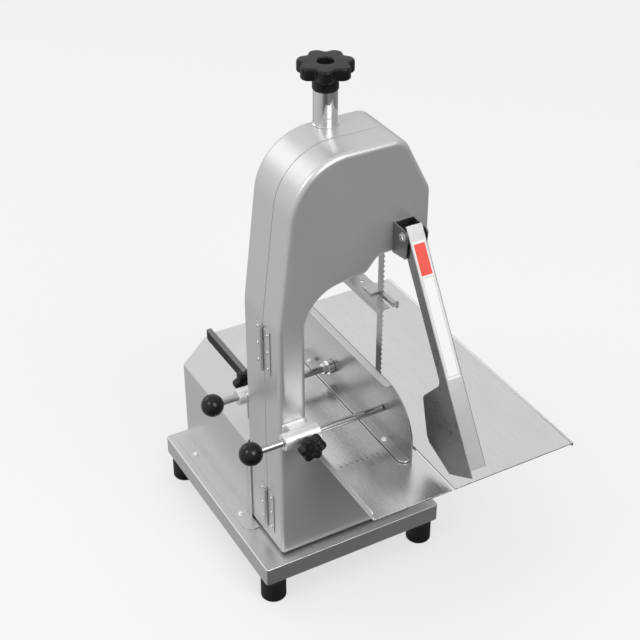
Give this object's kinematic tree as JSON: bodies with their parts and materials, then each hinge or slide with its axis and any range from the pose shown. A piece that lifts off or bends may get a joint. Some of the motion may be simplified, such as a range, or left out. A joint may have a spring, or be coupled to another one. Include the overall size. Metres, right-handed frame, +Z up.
{
  "type": "bone saw",
  "caption": "Countertop bone saw: a vertical band saw on a tray base, with a hinged front door, a flat work table, a sliding thickness fence and a swinging pusher.",
  "frame": {"origin": "centre of the bounding box in X and Y, on the plane under the four feet", "axes": "+X to the right seen from the operator's side, +Y to the back, +Z up"},
  "size_m": [0.5274, 0.6474, 0.937],
  "materials": {
    "satin_steel": "satin brushed",
    "polished_steel": "mirror polished",
    "chrome": "polished",
    "cast_alloy": "satin cast",
    "dark_steel": "machined",
    "blade_steel": "ground",
    "black_plastic": "gloss",
    "rubber": "matte",
    "motor_paint": "semi-gloss",
    "white_nylon": "satin",
    "green_plastic": "gloss",
    "red_plastic": "gloss"
  },
  "bodies": {
    "root": {"base_tray": "satin_steel", "blade": "blade_steel", "cable_gland": "black_plastic", "carriage_rail_left": "satin_steel", "carriage_rail_right": "satin_steel", "foot_front_left": "rubber", "foot_front_right": "rubber", "foot_rear_left": "rubber", "foot_rear_right": "rubber", "hinge_lower_fixed_leaf": "satin_steel", "hinge_lower_pin": "dark_steel", "hinge_upper_fixed_leaf": "satin_steel", "hinge_upper_pin": "dark_steel", "housing_body": "satin_steel", "lower_guide_block": "dark_steel", "lower_wheel_scraper": "white_nylon", "motor": "motor_paint", "motor_cover": "satin_steel", "rear_rod_bracket": "cast_alloy", "shaft_bearing": "dark_steel", "switch_box": "dark_steel", "table_bracket_front": "satin_steel", "table_bracket_rear": "satin_steel", "table_edge_trim": "rubber", "table_top": "polished_steel", "tension_spring": "dark_steel", "tension_tube": "chrome", "upper_guide_bracket": "satin_steel", "upper_guide_hook": "dark_steel", "upper_wheel_scraper": "white_nylon"},
    "door": {"housing_door": "satin_steel", "hinge_lower_door_leaf": "satin_steel", "hinge_upper_door_leaf": "satin_steel", "front_rod_bracket": "cast_alloy", "pusher_bracket": "satin_steel", "pusher_pivot_bolt": "dark_steel"},
    "fence": {"fence_plate": "polished_steel", "fence_glide_front": "white_nylon", "fence_glide_rear": "white_nylon", "rear_rod": "chrome", "rear_rod_ball": "black_plastic", "rear_rod_collar": "chrome"},
    "front_rod": {"front_rod": "chrome", "front_rod_ball": "black_plastic"},
    "pusher": {"pusher_arm": "satin_steel"},
    "lower_wheel": {"lower_wheel": "cast_alloy", "motor_shaft": "dark_steel", "lower_wheel_nut": "dark_steel"},
    "carriage": {"tension_carriage": "dark_steel", "upper_axle": "dark_steel"},
    "upper_wheel": {"upper_wheel": "cast_alloy", "upper_wheel_bearing": "dark_steel"},
    "tension_knob": {"tension_knob": "black_plastic", "tension_screw": "dark_steel"},
    "front_clamp_knob": {"front_clamp_knob": "black_plastic"},
    "rear_clamp_knob": {"rear_clamp_knob": "black_plastic"},
    "door_lock_knob": {"door_lock_knob": "black_plastic"},
    "start_button": {"start_button": "green_plastic"},
    "stop_button": {"stop_button": "red_plastic"}
  },
  "joints": [
    {"name": "door_hinge", "type": "hinge", "parent": "root", "child": "door", "pos_m": [-0.18015, -0.02385, 0.326], "axis": [0, 0, -1], "range_deg": [0, 45]},
    {"name": "fence_slide", "type": "slide", "parent": "root", "child": "fence", "axis": [1, 0, 0], "range_m": [-0.09, 0.018]},
    {"name": "front_rod_slide", "type": "slide", "parent": "door", "child": "front_rod", "axis": [1, 0, 0], "range_m": [-0.09, 0.018]},
    {"name": "pusher_swing", "type": "hinge", "parent": "door", "child": "pusher", "pos_m": [0.04375, -0.10935, 0.686], "axis": [-1, 0, 0], "range_deg": [0, 80]},
    {"name": "lower_wheel_spin", "type": "hinge", "parent": "root", "child": "lower_wheel", "pos_m": [-0.06175, -0.0501, 0.1865], "axis": [0, 1, 0], "continuous": true},
    {"name": "carriage_slide", "type": "slide", "parent": "root", "child": "carriage", "axis": [0, 0, 1], "range_m": [-0.0035, 0]},
    {"name": "upper_wheel_spin", "type": "hinge", "parent": "carriage", "child": "upper_wheel", "pos_m": [-0.06175, -0.0501, 0.727], "axis": [0, 1, 0], "continuous": true},
    {"name": "tension_knob_turn", "type": "hinge", "parent": "root", "child": "tension_knob", "pos_m": [-0.03575, 0.02565, 0.937], "axis": [0, 0, 1], "range_deg": [-720, 0]},
    {"name": "front_clamp_turn", "type": "hinge", "parent": "door", "child": "front_clamp_knob", "pos_m": [-0.15175, -0.10535, 0.363], "axis": [0, -1, 0], "range_deg": [0, 180]},
    {"name": "rear_clamp_turn", "type": "hinge", "parent": "root", "child": "rear_clamp_knob", "pos_m": [-0.15175, 0.06265, 0.342], "axis": [0, 1, 0], "range_deg": [0, 180]},
    {"name": "door_lock_turn", "type": "hinge", "parent": "door", "child": "door_lock_knob", "pos_m": [0.10725, -0.03585, 0.258], "axis": [0, -1, 0], "range_deg": [0, 360]},
    {"name": "start_press", "type": "slide", "parent": "root", "child": "start_button", "axis": [-1, 0, 0], "range_m": [0, 0.004], "stiffness_N_per_m": 300},
    {"name": "stop_press", "type": "slide", "parent": "root", "child": "stop_button", "axis": [-1, 0, 0], "range_m": [0, 0.004], "stiffness_N_per_m": 300}
  ],
  "couplings": [
    {"joint": "front_rod_slide", "follows": "fence_slide", "ratio": 1},
    {"joint": "upper_wheel_spin", "follows": "lower_wheel_spin", "ratio": 1},
    {"joint": "tension_knob_turn", "follows": "carriage_slide", "rad_per_m": 3590}
  ]
}
